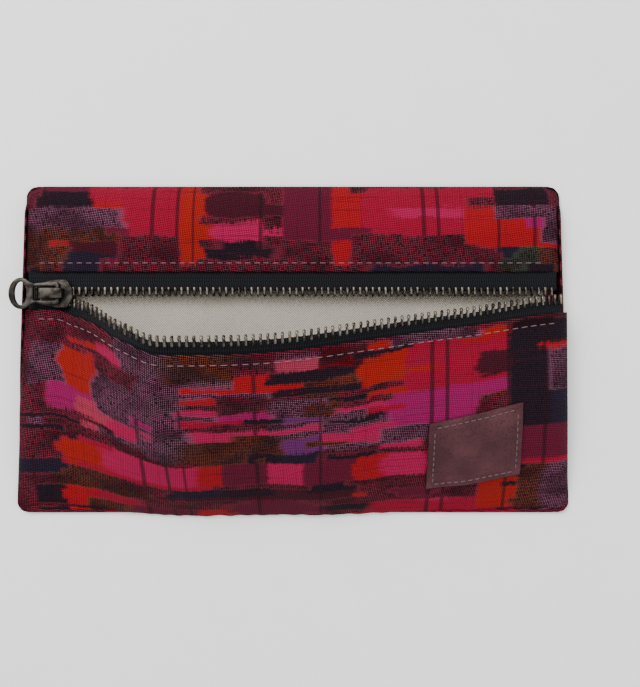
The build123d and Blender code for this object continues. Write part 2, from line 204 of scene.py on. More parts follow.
def sheet_mesh(name, columns, rows, place, cloth_uv, thickness, material):
    """Cloth of real thickness over a grid. place(x, s) is its middle surface."""
    count_x, count_s = len(columns), len(rows)
    middle = [[Vector(place(x, s)) for s in rows] for x in columns]
    points, uvs = [], []
    for side in (0.5, -0.5):
        for i in range(count_x):
            for j in range(count_s):
                along = middle[min(i + 1, count_x - 1)][j] - middle[max(i - 1, 0)][j]
                up = middle[i][min(j + 1, count_s - 1)] - middle[i][max(j - 1, 0)]
                normal = along.cross(up).normalized()
                points.append(middle[i][j] + normal * thickness * side)
                uvs.append(cloth_uv(columns[i], rows[j]))
    faces = []
    back = count_x * count_s
    for i in range(count_x - 1):
        for j in range(count_s - 1):
            a, b = i * count_s + j, (i + 1) * count_s + j
            faces.append((a, b, b + 1, a + 1))
            faces.append((back + a + 1, back + b + 1, back + b, back + a))
    rim = ([i * count_s for i in range(count_x)]
           + [(count_x - 1) * count_s + j for j in range(1, count_s)]
           + [i * count_s + count_s - 1 for i in range(count_x - 2, -1, -1)]
           + [j for j in range(count_s - 2, 0, -1)])
    for k, a in enumerate(rim):
        b = rim[(k + 1) % len(rim)]
        faces.append((a, back + a, back + b, b))
    piece = make_object(name, points, faces, material, uvs)
    piece.data.set_sharp_from_angle(angle=SHARP_CLOTH)
    return piece


def spread(start, end, step):
    """Evenly spaced values from start to end, about a step apart."""
    count = max(2, int(abs(end - start) / step + 1.5))
    return [start + (end - start) * k / (count - 1) for k in range(count)]


def hem_rows(hem):
    """Rows of a hem, closer together round its fold."""
    return spread(0, hem - 0.5, 1.4)[:-1] + spread(hem - 0.5, hem + 1.5, 0.28)[:-1]


class Path:
    """A smooth line through (y, z) points, measured along its length from the first."""

    def __init__(self, points, steps=14):
        p = [Vector(q) for q in points]
        p = [2 * p[0] - p[1]] + p + [2 * p[-1] - p[-2]]
        self.points = []
        for a, b, c, d in zip(p, p[1:], p[2:], p[3:]):
            for k in range(steps):
                t = k / steps
                self.points.append(0.5 * (2 * b + (c - a) * t + (2 * a - 5 * b + 4 * c - d) * t ** 2
                                          + (3 * b - a - 3 * c + d) * t ** 3))
        self.points.append(p[-2])
        self.at = [0.0]
        for a, b in zip(self.points, self.points[1:]):
            self.at.append(self.at[-1] + (b - a).length)
        self.length = self.at[-1]

    def __call__(self, s):
        s = min(self.length, max(0.0, s))
        for k in range(len(self.at) - 1):
            if s <= self.at[k + 1]:
                share = (s - self.at[k]) / max(1e-9, self.at[k + 1] - self.at[k])
                return self.points[k].lerp(self.points[k + 1], share)
        return self.points[-1]


# --- node helper --------------------------------------------------------------------
class Value:
    """A number in a material's node tree that can be used in sums."""

    def __init__(self, graph, socket):
        self.graph = graph
        self.socket = socket

    def __add__(self, other):
        return self.graph.math("ADD", self, other)

    def __radd__(self, other):
        return self.graph.math("ADD", other, self)

    def __sub__(self, other):
        return self.graph.math("SUBTRACT", self, other)

    def __rsub__(self, other):
        return self.graph.math("SUBTRACT", other, self)

    def __mul__(self, other):
        return self.graph.math("MULTIPLY", self, other)

    def __rmul__(self, other):
        return self.graph.math("MULTIPLY", other, self)

    def abs(self):
        return self.graph.math("ABSOLUTE", self)

    def sine(self):
        return self.graph.math("SINE", self)


class Graph:
    """A Principled material and short calls that add nodes to it."""

    def __init__(self, name, roughness, **constants):
        self.material = bpy.data.materials.new(name)
        self.material.use_nodes = True
        self.tree = self.material.node_tree
        self.shader = self.tree.nodes["Principled BSDF"]
        self.shader.inputs["Roughness"].default_value = roughness
        for key, value in constants.items():
            self.shader.inputs[key.replace("_", " ")].default_value = value

    def node(self, kind):
        return self.tree.nodes.new(kind)

    def feed(self, socket, value):
        """Link a value to a socket, or set a plain number or colour on it."""
        if isinstance(value, Value):
            self.tree.links.new(value.socket, socket)
        elif isinstance(value, bpy.types.NodeSocket):
            self.tree.links.new(value, socket)
        elif isinstance(value, tuple) and len(value) == 3 and len(socket.default_value) == 4:
            socket.default_value = (*value, 1.0)
        else:
            socket.default_value = value

    def math(self, operation, a, b=0.0, clamp=False):
        node = self.node("ShaderNodeMath")
        node.operation = operation
        node.use_clamp = clamp
        self.feed(node.inputs[0], a)
        self.feed(node.inputs[1], b)
        return Value(self, node.outputs[0])

    def cloth(self):
        """u and v on the flat cloth, in millimetres."""
        node = self.node("ShaderNodeUVMap")
        node.uv_map = "cloth"
        split = self.node("ShaderNodeSeparateXYZ")
        self.feed(split.inputs[0], node.outputs[0])
        return (Value(self, split.outputs[0]) * 1000.0, Value(self, split.outputs[1]) * 1000.0)

    def place(self):
        """Place in the object's own space, in metres."""
        return self.node("ShaderNodeTexCoord").outputs["Object"]

    def vector(self, x, y, z=0.0):
        node = self.node("ShaderNodeCombineXYZ")
        self.feed(node.inputs[0], x)
        self.feed(node.inputs[1], y)
        self.feed(node.inputs[2], z)
        return node.outputs[0]

    def noise(self, vector, scale, detail=2.0, roughness=0.5):
        node = self.node("ShaderNodeTexNoise")
        self.feed(node.inputs["Vector"], vector)
        node.inputs["Scale"].default_value = scale
        node.inputs["Detail"].default_value = detail
        node.inputs["Roughness"].default_value = roughness
        return Value(self, node.outputs["Fac"])

    def cells(self, vector, scale):
        node = self.node("ShaderNodeTexVoronoi")
        self.feed(node.inputs["Vector"], vector)
        node.inputs["Scale"].default_value = scale
        return Value(self, node.outputs["Distance"])

    def step(self, value, low, high):
        """0 below low, 1 above high, and smooth between."""
        node = self.node("ShaderNodeMapRange")
        node.interpolation_type = "SMOOTHSTEP"
        self.feed(node.inputs["Value"], value)
        node.inputs["From Min"].default_value = low
        node.inputs["From Max"].default_value = high
        return Value(self, node.outputs["Result"])

    def mix(self, share, a, b):
        node = self.node("ShaderNodeMix")
        node.data_type = "RGBA"
        self.feed(node.inputs["Factor"], share)
        self.feed(node.inputs["A"], a)
        self.feed(node.inputs["B"], b)
        return node.outputs["Result"]

    def between(self, share, a, b):
        node = self.node("ShaderNodeMix")
        self.feed(node.inputs["Factor"], share)
        self.feed(node.inputs["A"], a)
        self.feed(node.inputs["B"], b)
        return Value(self, node.outputs["Result"])

    def finish(self, colour, bump_height=None, strength=0.4, distance=0.0002):
        self.feed(self.shader.inputs["Base Color"], colour)
        if bump_height is not None:
            node = self.node("ShaderNodeBump")
            node.inputs["Strength"].default_value = strength
            node.inputs["Distance"].default_value = distance
            self.feed(node.inputs["Height"], bump_height)
            self.feed(self.shader.inputs["Normal"], node.outputs[0])
        return self.material


# --- materials ----------------------------------------------------------------------
BLACK = (0.0035, 0.0028, 0.0055)
NAVY = (0.004, 0.005, 0.013)
GROUND = (0.008, 0.0018, 0.0038)
MAROON = (0.032, 0.0022, 0.0060)
WINE = (0.075, 0.0030, 0.015)
CRIMSON = (0.220, 0.0018, 0.0170)
RED = (0.250, 0.0030, 0.0050)
ORANGE = (0.245, 0.0070, 0.0032)
PINK = (0.290, 0.0050, 0.0480)
MAGENTA = (0.205, 0.0035, 0.0640)
PURPLE = (0.085, 0.012, 0.085)
MAUVE = (0.270, 0.085, 0.160)
BROWN = (0.200, 0.048, 0.024)
ROSE = (0.270, 0.024, 0.050)
CREAM = (0.36, 0.22, 0.13)
GREEN = (0.050, 0.090, 0.050)

# Colour of the light threads that show as dots on the dark ground:
# (low u, high u, low v, high v, colour, softness along u, along v)
DOT_BLOCKS = [
    (-112, -76, -25, 16, ROSE, 8, 6), (-106, -97, -30, 4, MAUVE, 3, 5),
    (-112, -88, -66, -31, ROSE, 4, 4), (-78, -58, -28, -1, MAUVE, 5, 6), (-66, -44, 5, 20, MAUVE, 6, 4),
    (-46, -20, 3, 18, BROWN, 6, 4), (-58, -38, -30, 6, MAUVE, 6, 6), (-42, 8, -32, -16, BROWN, 10, 4),
    (-31, -27, -4, 16, ORANGE, 1, 3), (-20, -4, 2, 16, ROSE, 2, 4), (-5, 5, 6, 17, MAUVE, 1.5, 3),
    (-8, 6, -26, -2, MAUVE, 3, 4), (5, 18, -28, 8, BROWN, 3, 6), (11, 17, -2, 16, RED, 1, 5),
    (36, 70, 9, 17, MAUVE, 4, 3), (12, 24, -28, -8, MAUVE, 3, 4), (34, 54, -28, -14, MAUVE, 5, 3),
    (70, 86, -12, 8, BROWN, 3, 4), (84, 98, -22, 16, GROUND, 3, 4),
    (99.5, 100.8, -24, 14, CREAM, 0.4, 5), (101, 112, -24, 8, MAUVE, 3, 5),
    (86, 112, -66, -40, BROWN, 8, 5), (98, 112, -66, -42, MAUVE, 3, 8),
    (-96, -60, -66, -46, BROWN, 8, 4), (40, 80, -66, -45, ROSE, 8, 5), (-60, 26, -66, -45, ROSE, 20, 5),
    (-112, -78, 44, 58, MAUVE, 4, 3), (-112, -76, 32, 47, BROWN, 6, 4), (82, 112, 44, 58, MAUVE, 2, 3),
    (84, 112, 30, 44, GREEN, 4, 3), (100, 112, 30, 42, BROWN, 3, 3), (-76, 84, 28, 44, ROSE, 6, 5),
]
# Places where both threads carry the same colour
FULL_BLOCKS = [
    (-112, -106.5, -24, 12, CRIMSON, 1.5, 6), (-108, -100, 6, 13, RED, 4, 3),
    (-98, -89.5, -23, -7, MAGENTA, 1.5, 3), (-93, -88, -9, -1, RED, 3, 3),
    (-90, -78, -25, -8, PINK, 1.2, 4), (-75, -67, 3, 12, PINK, 3, 3),
    (-60, -53, -11, -1, CRIMSON, 0.8, 2.5), (-60, -51, -20, -10, MAGENTA, 1.2, 2.5),
    (-70, -58, -25, -17, MAGENTA, 4, 3), (-41, -31, 1, 5.5, RED, 2, 1.6),
    (-41, -30, -5, -1.5, RED, 2, 1.4), (-32, -27, -5, 6, ORANGE, 0.8, 2.5),
    (-43, -26, -9, -6.5, PINK, 3, 1), (-42, -24, -14, -11, CRIMSON, 3, 1.1),
    (-40, -18, -19, -16, PINK, 4, 1.2), (-26, -20, 3, 15, NAVY, 0.5, 1),
    (-20.5, -9, 0.5, 8, RED, 0.8, 1.8), (-26, -17, -2, 0.5, BLACK, 0.7, 0.9),
    (-18, -13, -15, -7, BLACK, 2, 2), (-27, -16, -12, -8, MAGENTA, 4, 1.5),
    (-9, -5, 0, 16, BLACK, 0.6, 4), (-9, 12, 2.5, 6.5, BLACK, 1.6, 1.2), (-9, 10, -2, 0, BLACK, 3, 0.8),
    (5, 11, 6, 15, BLACK, 1, 3), (-12, -6, -12, -8, PINK, 2, 1.2), (-12, -4, -19, -16, PINK, 2, 1.0),
    (-17, -13, -32, -20, BLACK, 0.6, 2), (-10, -6, -32, -24, BLACK, 0.6, 2),
    (-1, 3, -10, -5, NAVY, 1.2, 1.8), (-1, 4, -18, -14, NAVY, 1.5, 1.4),
    (-3, 7, -13, -10, PURPLE, 2, 1.4), (-4, 5, -26, -20, PURPLE, 2, 2), (10, 17, -2, 2, RED, 2, 1.4),
    (17.3, 22, 6, 14, RED, 0.8, 2), (22, 28, 5, 12, BLACK, 0.8, 2.5), (17, 28, -2, 1.5, BLACK, 2, 1),
    (12, 28, -7, -4.5, BLACK, 3, 0.9), (17, 30, -11, -8, PINK, 3, 1.1),
    (13, 29, -15.5, -13.5, BLACK, 3, 0.8), (12, 34, -24, -17, PINK, 3, 2),
    (14, 30, -20.5, -19, MAROON, 3, 0.6), (28.3, 38, -7, 16, ORANGE, 0.8, 4),
    (28.3, 34, -28, -6, CRIMSON, 1, 4), (36, 42, -4, 8, RED, 3, 4), (43, 75, -8, 11.5, CRIMSON, 4, 4),
    (60, 75, -4, 10, PINK, 5, 5), (36, 72, -19, -6, MAGENTA, 4, 4), (50, 68, -17, -9, PINK, 5, 3),
    (70, 83, 6, 14, ORANGE, 3.5, 3), (63, 74, 9, 13, RED, 3, 2), (79, 92, -8, -1, CRIMSON, 3, 3),
    (80, 88, -15, -7, RED, 3, 3), (84, 96.5, -28, 13, BLACK, 2, 3), (96.5, 99, -6, 14, RED, 0.6, 4),
    (101, 112, -28, -12, NAVY, 2, 3), (103, 112, 4, 16, BLACK, 1.5, 3),
    (34, 50, -29, -26.5, PINK, 5, 0.8),
    # the band that runs right across, and the dark wedges and flames below it
    (-112, -90, -28, -24.8, BLACK, 0.6, 0.6), (-112, -90, -31.8, -29, BLACK, 0.6, 0.6),
    (-112, -91.5, -49, -43.5, NAVY, 0.7, 1.4), (-92, -30, -44.5, -31, CRIMSON, 0.8, 1.4),
    (-92, -74, -43, -33, ORANGE, 8, 2.5), (-74, -36, -43.5, -32, PINK, 8, 2),
    (-36, -26.5, -44, -32, RED, 2, 1.5), (-26.5, -9, -43.5, -32, WINE, 0.6, 1.4),
    (-9, 4.5, -43.5, -31, PINK, 0.7, 1.4), (4.5, 23, -43, -32, WINE, 0.7, 1.2),
    (23, 112, -44, -31, CRIMSON, 0.7, 1.4), (23, 36, -43, -32, RED, 3, 2),
    (34, 54, -43, -32, PINK, 5, 2), (89, 112, -40, -26, WINE, 1.2, 1.4),
    (-6, 12, -31, -27, NAVY, 4, 1.2), (10, 36, -30.6, -28.8, BLACK, 4, 0.8),
    (-56, 26, -52, -45, MAROON, 4, 1.2), (-27, -6, -51, -45.5, BLACK, 2, 1.6),
    (5, 23, -48, -43.5, BLACK, 5, 1.3), (8, 22, -61, -57, BLACK, 4, 1.4),
    (-50, -30, -50, -46, NAVY, 6, 1.2), (-26, 12, -64, -53, WINE, 8, 3),
    (-38, -27, -66, -58, RED, 2, 3), (-92, -82, -66, -52, RED, 3, 3),
    (-90, -84, -64, -55, ORANGE, 2, 3), (-80, -62, -60, -55, CRIMSON, 6, 1.6),
    (-66, -40, -66, -58, WINE, 6, 3), (-103, -94, -66, -53, BLACK, 1.0, 2),
    (-109, -104, -62, -54, RED, 2.5, 3), (23, 30, -66, -50, ORANGE, 0.8, 4),
    (30, 72, -66, -56, CRIMSON, 6, 2.4), (52, 62, -60, -56, PINK, 4, 1.2),
    (38, 60, -54, -49, WINE, 6, 1.6), (73, 82, -66, -46, ORANGE, 1, 4),
    (82.5, 89, -60, -46, BLACK, 0.8, 2), (88, 93, -45.5, -43, BLACK, 2, 0.8),
    # the strip above the zipper
    (-106, -84, 56, 63, BLACK, 3, 1.2), (-112, -84, 63.5, 70, WINE, 3, 1),
    (-84, -70, 60, 70, CRIMSON, 1.6, 3), (-82, -77, 38, 60, RED, 1, 3), (-99, -94, 39, 48, RED, 2, 3),
    (-94, -78, 27, 38, NAVY, 3, 1.6), (-108, -102, 29, 34, BLACK, 2, 1.6),
    (-92, -80, 39, 43, MAROON, 3, 1.6), (-76, -70, 34, 60, WINE, 1.5, 4),
    (-70, -46, 46, 70, CRIMSON, 4, 5), (-46, -38, 34, 70, ORANGE, 1, 8),
    (-36, -10, 52, 64, MAROON, 4, 2), (-36, -6, 36, 42, BLACK, 6, 1.6), (-34, -10, 43, 50, PINK, 5, 2),
    (-4, 16, 42, 70, WINE, 1, 5), (16, 24, 34, 70, RED, 1, 6), (28, 72, 46, 66, CRIMSON, 5, 3),
    (40, 66, 52, 58, PINK, 6, 2), (30, 80, 28, 34, NAVY, 10, 1.4), (70, 83, 40, 58, RED, 0.8, 3),
    (64, 83, 62, 70, CRIMSON, 2, 1), (83, 106, 57.5, 65, BLACK, 0.8, 0.9), (88, 93, 42, 52, RED, 1, 3),
    (96, 101.5, 40, 52, ORANGE, 1.4, 4), (95, 103, 46, 56, MAGENTA, 3, 3),
    (83, 93, 37, 42, NAVY, 3, 1.4), (90, 112, 28, 33, BLACK, 6, 1.2),
]
# Feathered diamonds: (centre u, centre v, half width, half height, colour)
DIAMONDS = [
    (-86, -3, 9, 17, ORANGE), (-80, -19, 6, 12, ROSE), (-70, 8, 6, 6, PINK), (-87, -38, 8, 8, ORANGE),
    (58, -12, 15, 8, MAGENTA), (66, 2, 11, 8, CRIMSON), (78, 0, 8, 13, MAROON), (-64, -21, 7, 5, PINK),
    (-2, 10, 5, 3, ROSE), (20, -21, 9, 3, PINK), (30, 4, 6, 9, ORANGE), (-88, -59, 5, 7, RED),
]
# Single dark warp threads: (u, half width)
WARP_LINES = [(-57, 0.7), (-47, 0.5), (-13, 0.6), (53.5, 0.7), (59.5, 0.6), (-40.5, 0.3), (11.2, 0.4),
              (98.8, 0.6), (-103, 0.4), (84, 0.5)]
RAMP_WIDTH = 120.0             # the colour ramps run from -120 to 120 mm
MOST_RUNS = 13


def laid(runs, low, high, tint, full, edge):
    """The runs of colour along a thread, with one more laid over them."""
    kept = []
    for start, end, colour, cover, soft in runs:
        if start < low:
            kept.append((start, min(end, low), colour, cover, soft))
        if end > high:
            kept.append((max(start, high), end, colour, cover, soft))
    kept.append((low, high, tint, full, edge))
    return sorted(kept)


def weft_row(v):
    """Colours along one row of weft, from left to right."""
    runs = [(-RAMP_WIDTH, RAMP_WIDTH, ROSE, 0.0, 2.0)]
    for full, blocks in ((0.0, DOT_BLOCKS), (1.0, FULL_BLOCKS)):
        for low_u, high_u, low_v, high_v, tint, edge_u, edge_v in blocks:
            if low_v <= v <= high_v:
                # a soft upper or lower edge draws the colour in at its ends
                near = min(v - low_v, high_v - v, edge_v) / edge_v
                pull = (1.0 - near) * min(edge_u, (high_u - low_u) / 4)
                runs = laid(runs, low_u + pull, high_u - pull, tint, full, edge_u)
    for centre_u, centre_v, half_u, half_v, tint in DIAMONDS:
        reach = half_u * (1.0 - abs(v - centre_v) / half_v)
        if reach > 0.6:
            runs = laid(runs, centre_u - reach, centre_u + reach, tint, 1.0, 1.4)
    while len(runs) > MOST_RUNS:
        short = min(range(1, len(runs)), key=lambda k: runs[k][1] - runs[k][0])
        before, gone = runs[short - 1], runs[short]
        runs[short - 1:short + 1] = [(before[0], gone[1]) + before[2:]]
    return runs


def thread_ramp(g, across, runs):
    """A colour ramp along u; its alpha says how fully the colour covers the dark ground."""
    node = g.node("ShaderNodeValToRGB")
    g.feed(node.inputs[0], across)
    stops = node.color_ramp.elements
    stops[0].color = (*runs[0][2], runs[0][3])
    stops[1].color = (*runs[-1][2], runs[-1][3])
    for before, after in zip(runs, runs[1:]):
        room = min(before[1] - before[0], after[1] - after[0]) * 0.8
        half = min(before[4], after[4], room) / 2
        for side, run in ((-half, before), (half, after)):
            stop = stops.new((after[0] + side + RAMP_WIDTH) / (2 * RAMP_WIDTH))
            stop.color = (*run[2], run[3])
    return node.outputs["Color"], Value(g, node.outputs["Alpha"])


def ikat_cloth(name, low, high, row_height):
    """Tie-dyed weft rows: light dots on a dark ground, or one full colour on both threads."""
    g = Graph(name, 0.9, Sheen_Weight=0.0, Specular_IOR_Level=0.08)
    u, v = g.cloth()
    # colour runs along the threads, so edges fray in long flat tongues
    tongue = (g.noise(g.vector(u * 0.05, v * 0.34), 1.0, 1.5, 0.6) - 0.5) * 6.0
    fray = (g.noise(g.vector(u * 0.04, v * 1.7), 1.0, 1.0) - 0.5) * 2.6
    warp_run = (g.noise(g.vector(u * 1.5, v * 0.05), 1.0, 1.0) - 0.5) * 2.4
    soft_v = v + tongue * (g.step(v, -36.0, -24.0) * 0.7 + 0.3) + warp_run
    across = (u + fray + RAMP_WIDTH) * (0.5 / RAMP_WIDTH)
    colour, cover = thread_ramp(g, across, weft_row(low + row_height / 2))
    for k in range(1, round((high - low) / row_height)):
        level = low + k * row_height
        share = g.step(soft_v, level - 0.6, level + 0.6)
        row_colour, row_cover = thread_ramp(g, across, weft_row(level + row_height / 2))
        colour = g.mix(share, colour, row_colour)
        cover = g.between(share, cover, row_cover)
    # single dark warp threads, and weft threads that took less dye
    lines = g.step(g.noise(g.vector(u * 0.8, 0.0), 1.0, 1.0), 0.63, 0.68) * 0.35
    for centre, half in WARP_LINES:
        lines = g.math("MAXIMUM", lines, g.step((u - centre).abs(), half + 0.5, half - 0.2) * 0.7)
    weft_lines = g.step(g.noise(g.vector(u * 0.015, v * 1.1), 1.0, 2.0, 0.7), 0.56, 0.70) * 0.5
    # the weave: light threads pass over dark ones along a diagonal
    turn = 2 * math.pi / 1.30
    over = (u * turn + v * (turn * 0.8)).sine() * (u * (turn * 0.8) - v * turn).sine()
    dots = g.step(over, 0.10, 0.55) * g.step(g.noise(g.vector(u, v), 0.9, 2.0), 0.28, 0.52)
    patch = g.step(g.noise(g.vector(u * 0.07, v * 0.11), 1.0, 2.0), 0.30, 0.62)
    dotted = g.mix(dots * (patch * 0.55 + 0.30), GROUND, colour)
    full = g.mix(weft_lines, g.mix(lines, colour, GROUND), MAROON)
    # faint mauve dots on the full colour: partly the faint light dots the cloth has, partly painted
    # highlight on the raised threads
    full = g.mix(dots * 0.08, full, MAUVE)
    # painted shade: darker toward the ground colour where the threads dip under, between the raised
    # threads
    full = g.mix(g.step(over, -0.10, -0.60) * 0.72, full, GROUND)
    fuzz = g.noise(g.vector(u, v), 3.2, 2.0)
    return g.finish(g.mix(cover, dotted, full), over + fuzz * 0.6, 0.6, 0.0002)


def plain_weave(name, base, dark, pitch, roughness, sheen):
    """Plain canvas or tape weave: over and under threads with a little slub."""
    g = Graph(name, roughness, Sheen_Weight=sheen, Specular_IOR_Level=0.2)
    u, v = g.cloth()
    turn = 2 * math.pi / pitch
    weave = (u * turn).sine() * (v * turn).sine()
    slub = g.noise(g.vector(u * 0.25, v * 1.4), 1.0, 3.0, 0.6)
    stain = g.noise(g.vector(u * 0.03, v * 0.03), 1.0, 3.0)
    colour = g.mix(g.step(weave, -0.7, 0.5), dark, base)
    colour = g.mix(g.step(slub, 0.45, 0.75) * 0.35, colour, dark)
    colour = g.mix(g.step(stain, 0.45, 0.75) * 0.3, colour, dark)
    return g.finish(colour, weave + slub * 0.5, 0.55, 0.00018)


def zipper_tape():
    """Black tape with a herringbone weave and ribs beside the cord."""
    g = Graph("zipper_tape", 0.8, Sheen_Weight=0.0, Specular_IOR_Level=0.12)
    u, v = g.cloth()
    turn = 2 * math.pi / 0.9
    chevron = (u * turn + (v * 0.45).sine() * 5.0).sine()
    rib = (v * (2 * math.pi / 1.5)).sine()
    colour = g.mix(g.step(chevron, -0.6, 0.8), (0.0022, 0.0022, 0.0033), (0.0088, 0.0094, 0.0121))
    lint = g.noise(g.vector(u, v), 1.7, 4.0, 0.75)
    colour = g.mix(g.step(lint, 0.66, 0.78) * 0.35, colour, (0.0880, 0.0825, 0.0825))
    return g.finish(colour, chevron + rib * 0.7, 0.5, 0.00016)


def metal(name, base, dark, roughness):
    """Antique plating: dark and rubbed bright in patches, with fine scratches."""
    g = Graph(name, roughness, Metallic=1.0)
    place = g.place()
    patches = g.noise(place, 260.0, 4.0, 0.6)
    fine = g.noise(place, 2400.0, 2.0, 0.6)
    colour = g.mix(g.step(patches, 0.36, 0.62), dark, base)
    colour = g.mix(g.step(fine, 0.55, 0.75) * 0.35, colour, dark)
    g.feed(g.shader.inputs["Roughness"], g.math("ADD", patches * 0.28, roughness - 0.1))
    return g.finish(colour, fine + patches * 1.5, 0.25, 0.0001)


def leather():
    """Brown leather with pores, creases and a rubbed surface."""
    g = Graph("leather_brown", 0.72, Specular_IOR_Level=0.14)
    place = g.place()
    pores = g.cells(place, 1100.0)
    crease = g.noise(place, 150.0, 5.0, 0.65)
    cloud = g.noise(place, 60.0, 3.0)
    colour = g.mix(g.step(cloud, 0.35, 0.68), (0.042, 0.0135, 0.0175), (0.070, 0.0240, 0.0290))
    colour = g.mix(g.step(pores, 0.28, 0.05) * 0.35, colour, (0.016, 0.007, 0.008))
    colour = g.mix(g.step(crease, 0.60, 0.72) * 0.35, colour, (0.085, 0.045, 0.048))
    return g.finish(colour, g.step(pores, 0.05, 0.4) + crease * 2.0, 0.8, 0.0004)


def thread(name, base, dark):
    """Twisted sewing thread."""
    g = Graph(name, 0.75, Sheen_Weight=0.2, Specular_IOR_Level=0.25)
    u, v = g.cloth()
    twist = (u * 9.0 + v * 9.0).sine()
    return g.finish(g.mix(g.step(twist, -0.8, 0.4), dark, base), twist, 0.5, 0.0001)


def floor_material():
    g = Graph("floor_white", 0.9, Specular_IOR_Level=0.1)
    tone = g.noise(g.place(), 40.0, 3.0)
    return g.finish(g.mix(tone, (0.86, 0.86, 0.86), (0.90, 0.90, 0.90)))


FRONT_IKAT = ikat_cloth("ikat_front", -66.0, 17.0, 2.3)
UPPER_IKAT = ikat_cloth("ikat_upper", 27.0, 70.0, 2.3)
BACK_IKAT = ikat_cloth("ikat_back", -66.0, 70.0, 5.2)
CANVAS = plain_weave("canvas_cream", (0.47, 0.43, 0.37), (0.27, 0.24, 0.20), 1.0, 0.9, 0.1)
TAPE = zipper_tape()
TEETH_METAL = metal("zipper_metal", (0.190, 0.165, 0.135), (0.024, 0.020, 0.017), 0.42)
SLIDER_METAL = metal("slider_metal", (0.060, 0.054, 0.046), (0.014, 0.012, 0.011), 0.40)
LEATHER = leather()
THREAD = thread("thread_pink", (0.22, 0.12, 0.15), (0.07, 0.035, 0.045))
LABEL_THREAD = thread("thread_mauve", (0.13, 0.075, 0.085), (0.05, 0.028, 0.032))


# --- the front ----------------------------------------------------------------------
def ripple(x, y):
    """Soft unevenness of the cloth, in millimetres: puckers by the seams, slow waves between."""
    slow = noise.noise(Vector((x * 0.030, y * 0.022, 3.1)))
    fold = noise.noise(Vector((x * 0.075 + y * 0.02, y * 0.016, 8.7)))
    pucker = noise.noise(Vector((x * 0.24, y * 0.03, 1.3)))
    near_foot = smooth((-48 - y) / 12)
    below_hem = smooth((RIM_Y - 7 - y) / 9)
    seam_pucker = abs(pucker) * 0.35 * smooth((y - (RIM_Y - 12)) / 6) * smooth((RIM_Y - 2.2 - y) / 2)
    return ((slow * 2.2 + fold * 1.6) * below_hem * (1 - near_foot * 0.7)
            + pucker * 0.7 * near_foot + seam_pucker)


FRONT_PATH = Path([(RIM_Y - 6.0, RIM_Z - 0.85), (RIM_Y - 0.7, RIM_Z - 0.80), (RIM_Y, RIM_Z - 0.5),
                   (RIM_Y - 0.7, RIM_Z - 0.22), (RIM_Y - 3.0, RIM_Z - 0.15), (RIM_Y - 8.0, RIM_Z + 0.1),
                   (-2.0, 10.2), (-24.0, 11.4), (-46.0, 8.2), (-57.0, 4.4), (-62.0, 2.3),
                   (-63.4, 1.3), (-62.6, 0.6)])
HEM = 6.3                     # length of the folded-under edge, at the path's start
FOOT_LENGTH = 3.0


def front_place(x, s):
    """Middle of the front cloth at x, s along the path from the hidden hem."""
    point = FRONT_PATH(s)
    y, z = point.x, point.y
    if s > HEM:
        z += ripple(x, y)
    side = side_fall(x)
    z = 1.3 + (z - 1.3) * side
    return folded(x * narrowing(y), y, z)


def cloth_v(s):
    """v on the cloth at s along the front's path."""
    return RIM_Y - (s - HEM)


def split_columns(step):
    """Columns of the front's left and right halves, which meet at the deepest place."""
    return spread(-SIDE_X, OPEN_X, step), spread(OPEN_X, SIDE_X, step)


def ride_front(piece, side):
    """Bake a left or right front piece's placement into its mesh."""
    start = LEFT_END_X if side == "left" else RIGHT_END_X
    start * MM
    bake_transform(piece)
    return piece


def build_front_panel():
    rows = (hem_rows(HEM) + spread(HEM + 1.5, FRONT_PATH.length - FOOT_LENGTH, 1.5)[:-1]
            + spread(FRONT_PATH.length - FOOT_LENGTH, FRONT_PATH.length, 0.4))
    for side, columns in zip(("left", "right"), split_columns(1.5)):
        piece = sheet_mesh(f"front_cloth_{side}", columns, rows, front_place,
                           lambda x, s: (x, cloth_v(s)), CLOTH, FRONT_IKAT)
        ride_front(piece, side)
        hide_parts("front_panel")
        width = (columns[-1] - columns[0]) * MM
        width * 1.08


LINING_PATH = Path([(RIM_Y - 1.0, RIM_Z - 2.1), (RIM_Y - 8.0, RIM_Z - 2.0), (-2.0, 8.2),
                    (-24.0, 9.2), (-46.0, 6.2), (-56.0, 3.3), (-60.0, 2.2), (-61.9, 1.5)])


def lining_place(x, s):
    point = LINING_PATH(s)
    z = point.y + ripple(x, point.x) * 0.8 * smooth(s / 12)
    base = 1.9 - 0.7 * smooth((-52 - point.x) / 6)
    z = base + (z - base) * side_fall(x)
    return folded(x * 106.0 / SIDE_X, point.x, z)


def build_front_lining():
    rows = spread(0, LINING_PATH.length, 2.0)
    for side, columns in zip(("left", "right"), split_columns(2.0)):
        piece = sheet_mesh(f"front_lining_{side}", columns, rows, lining_place,
                           lambda x, s: (x, -s), LINING, CANVAS)
        ride_front(piece, side)
        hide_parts("front_lining")
        width = (columns[-1] - columns[0]) * MM
        width * 1.05


# --- zipper -------------------------------------------------------------------------
def chain_turn(x):
    """Place and turn of the front chain at x: it runs straight inside the slider."""
    return folded(x, CHAIN_Y, CHAIN_Z), OPEN_ANGLE * opening(x)


# (distance toward the tape, half width, half height) of each ring of a tooth
TOOTH_RINGS = [(-1.05, 0.30, 0.45), (-0.9, 0.46, 0.75), (-0.45, 0.56, 1.12), (0.2, 0.50, 1.28),
               (0.75, 0.42, 1.22), (1.2, 0.56, 1.30), (2.4, 0.58, 1.30), (2.75, 0.50, 1.12)]
TOOTH_AROUND = 12


